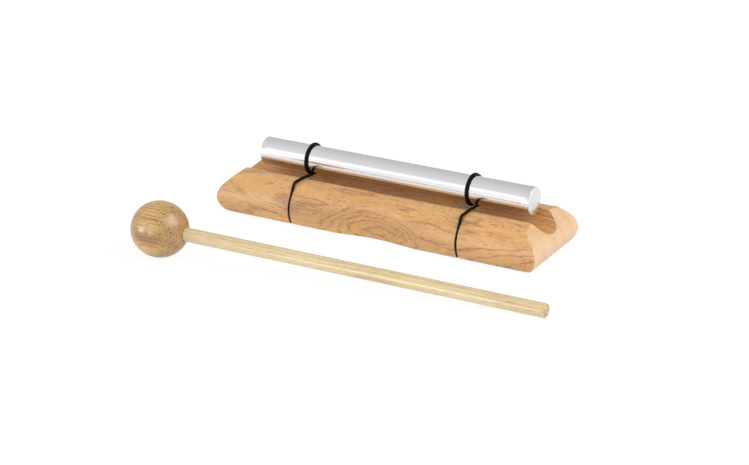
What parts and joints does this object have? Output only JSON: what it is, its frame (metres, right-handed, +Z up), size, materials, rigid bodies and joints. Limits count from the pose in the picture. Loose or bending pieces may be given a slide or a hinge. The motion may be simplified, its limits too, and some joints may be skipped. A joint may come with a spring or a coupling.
{
  "type": "energy chime",
  "caption": "Solid metal chime rod slung in looped elastic cords over a grooved hardwood block, with a wooden ball beater lying beside it.",
  "frame": {"origin": "on the underside of the wooden block, midway between its ends and its long sides", "axes": "+X along the rod, +Y away from the beater, +Z up"},
  "size_m": [0.2428, 0.1446, 0.0417],
  "materials": {
    "block_wood": "satin lacquered light hardwood",
    "rod_metal": "polished",
    "elastic_cord": "braided",
    "beater_head_wood": "satin lacquered",
    "beater_stick_wood": "plain sanded dowel"
  },
  "bodies": {
    "base": {"base_block": "block_wood"},
    "slings": {"cord_left": "elastic_cord", "cord_right": "elastic_cord"},
    "rod": {"chime_rod": "rod_metal"},
    "mallet": {"mallet_head": "beater_head_wood", "mallet_stick": "beater_stick_wood"}
  },
  "joints": [
    {"name": "cord_bounce", "type": "slide", "parent": "base", "child": "slings", "axis": [0, 0, 1], "range_m": [-0.006, 0.006], "stiffness_N_per_m": 371, "springref_m": 0.00252, "deforming": ["cord_left", "cord_right"]},
    {"name": "rod_slide", "type": "slide", "parent": "slings", "child": "rod", "axis": [1, 0, 0], "range_m": [-0.031, 0.029]},
    {"name": "mallet_lift", "type": "slide", "parent": "base", "child": "mallet", "axis": [0, 0, 1], "range_m": [0, 0.12]}
  ]
}
